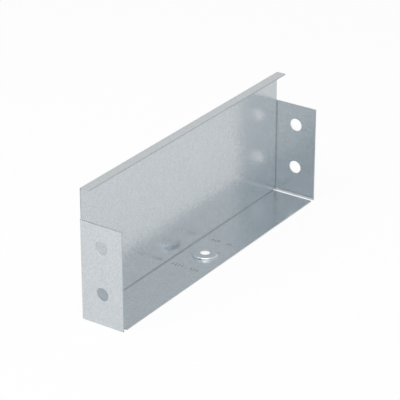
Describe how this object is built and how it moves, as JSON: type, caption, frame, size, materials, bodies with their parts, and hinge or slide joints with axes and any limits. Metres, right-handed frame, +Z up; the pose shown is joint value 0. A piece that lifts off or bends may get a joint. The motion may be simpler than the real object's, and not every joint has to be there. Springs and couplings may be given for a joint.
{
  "type": "cable tray end cap",
  "caption": "Folded galvanised sheet end cap for a cable tray: tall web, top lip, side ears with screw holes, and a floor flange with a raised screw boss.",
  "frame": {"origin": "middle of the footprint, on the plane of the floor flange's underside", "axes": "+X along the cap from ear to ear, +Y out through the web's back, away from the tray, +Z up towards the lip"},
  "size_m": [0.2, 0.0286, 0.08],
  "materials": {
    "galvanised_sheet": "zinc coated, satin, with a fine spangle"
  },
  "bodies": {
    "root": {"end_cap": "galvanised_sheet"}
  },
  "joints": []
}
